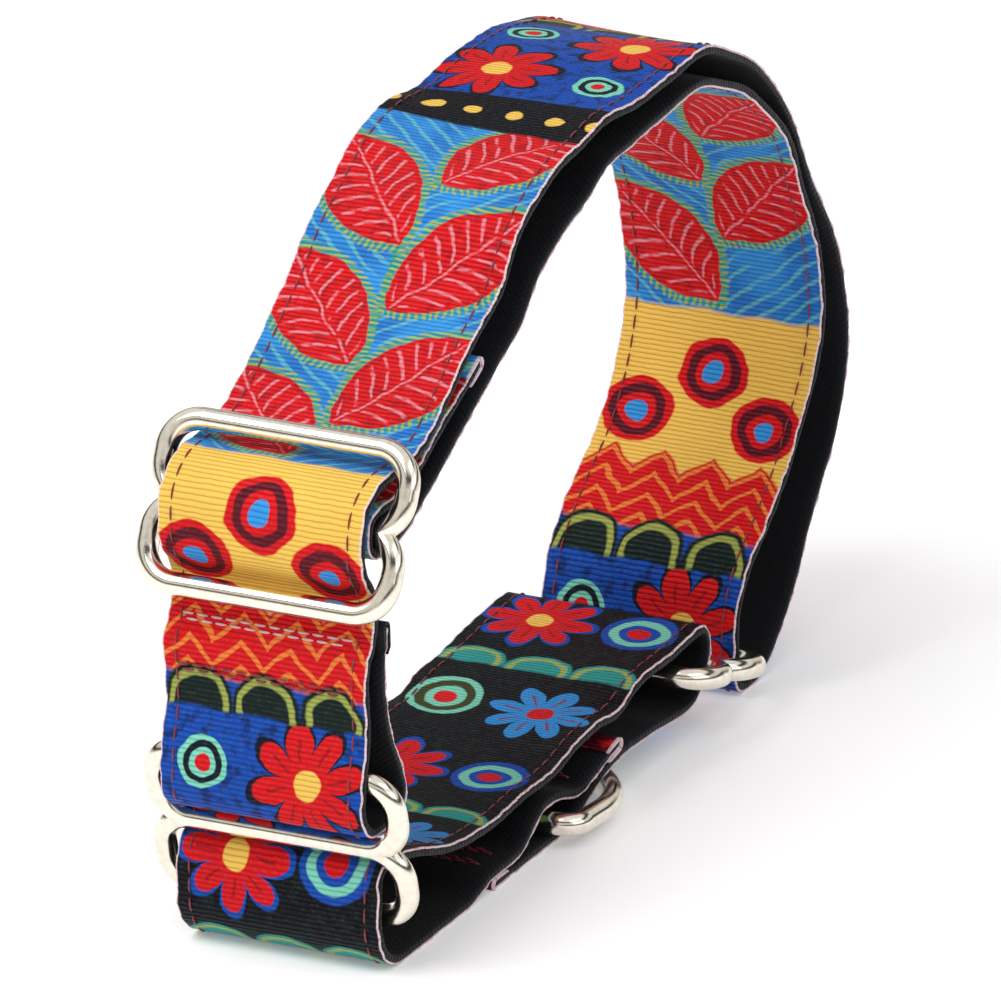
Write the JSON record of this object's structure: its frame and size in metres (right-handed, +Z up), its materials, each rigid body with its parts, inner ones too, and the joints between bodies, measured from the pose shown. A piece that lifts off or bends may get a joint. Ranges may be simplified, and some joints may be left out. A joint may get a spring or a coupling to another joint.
{
  "type": "martingale dog collar",
  "caption": "Martingale dog collar: wide printed webbing main strap with an adjuster slide, joined through two metal slides to a control loop that carries a D-ring.",
  "frame": {"origin": "on the floor, under the middle of the collar's box", "axes": "+X across the strap's width, +Y from the adjuster slide to the far slide, +Z up"},
  "size_m": [0.051, 0.1967, 0.1262],
  "materials": {
    "webbing": "woven black webbing, faint sheen",
    "ribbon": "printed grosgrain ribbon, fine cross ribs",
    "thread": "dark red sewing thread",
    "nickel": "polished nickel"
  },
  "bodies": {
    "left_half": {"ring_end_webbing": "webbing", "ring_end_ribbon": "ribbon", "slider_roll_webbing": "webbing", "slider_roll_ribbon": "ribbon", "outer_ply_left_webbing": "webbing", "outer_ply_left_ribbon": "ribbon", "outer_ply_bend_webbing": "webbing", "outer_ply_bend_ribbon": "ribbon", "inner_ply_bend_webbing": "webbing", "inner_ply_bend_ribbon": "ribbon", "inner_ply_left_webbing": "webbing", "inner_ply_left_ribbon": "ribbon", "slider_end_webbing": "webbing", "slider_end_ribbon": "ribbon", "control_left_fold_webbing": "webbing", "control_left_fold_ribbon": "ribbon", "control_lower_bend_webbing": "webbing", "control_lower_bend_ribbon": "ribbon", "control_upper_ply_webbing": "webbing", "control_upper_ply_ribbon": "ribbon", "edge_seams_left": "thread", "edge_seams_control": "thread", "ring_end_seams": "thread", "slider_end_seams": "thread"},
    "right_half": {"outer_ply_right_webbing": "webbing", "outer_ply_right_ribbon": "ribbon", "right_fold_webbing": "webbing", "right_fold_ribbon": "ribbon", "inner_ply_right_webbing": "webbing", "inner_ply_right_ribbon": "ribbon", "edge_seams_right": "thread"},
    "slider": {"slider": "nickel"},
    "left_ring": {"left_ring": "nickel"},
    "right_ring": {"right_ring": "nickel", "control_right_fold_webbing": "webbing", "control_right_fold_ribbon": "ribbon"},
    "pocket": {"pocket_upper_webbing": "webbing", "pocket_upper_ribbon": "ribbon", "pocket_lower_webbing": "webbing", "pocket_lower_ribbon": "ribbon", "control_lower_slack_webbing": "webbing", "control_lower_slack_ribbon": "ribbon", "pocket_seams": "thread"},
    "d_ring": {"d_ring": "nickel"}
  },
  "joints": [
    {"name": "cinch", "type": "hinge", "parent": "left_half", "child": "right_half", "pos_m": [0, 0.0488, 0.1185], "axis": [-1, 0, 0], "range_deg": [0, 8], "stiffness_Nm_per_rad": 0.12, "springref_deg": -14.32, "deforming": ["outer_ply_bend_webbing", "outer_ply_bend_ribbon", "inner_ply_bend_webbing", "inner_ply_bend_ribbon", "control_upper_ply_webbing", "control_upper_ply_ribbon", "control_lower_bend_webbing", "control_lower_bend_ribbon", "edge_seams_control"]},
    {"name": "right_ring_level", "type": "hinge", "parent": "right_half", "child": "right_ring", "pos_m": [0, 0.05644, 0.00585], "axis": [1, 0, 0], "range_deg": [0, 8.5]},
    {"name": "pocket_travel", "type": "slide", "parent": "left_half", "child": "pocket", "axis": [0, -1, 0], "range_m": [0, 0.0095], "deforming": ["control_lower_slack_webbing", "control_lower_slack_ribbon"]},
    {"name": "slider_rock", "type": "hinge", "parent": "left_half", "child": "slider", "pos_m": [0, -0.0902, 0.0803], "axis": [1, 0, 0], "range_deg": [-4, 4]},
    {"name": "left_ring_rock", "type": "hinge", "parent": "left_half", "child": "left_ring", "pos_m": [0, -0.09314, 0.03669], "axis": [1, 0, 0], "range_deg": [-3, 3]},
    {"name": "d_ring_swing", "type": "hinge", "parent": "pocket", "child": "d_ring", "pos_m": [0, -0.0237, 0.0044], "axis": [1, 0, 0], "range_deg": [-155, 0]}
  ],
  "couplings": [
    {"joint": "right_ring_level", "follows": "cinch", "ratio": 1},
    {"joint": "pocket_travel", "follows": "cinch", "m_per_rad": 0.06327}
  ]
}
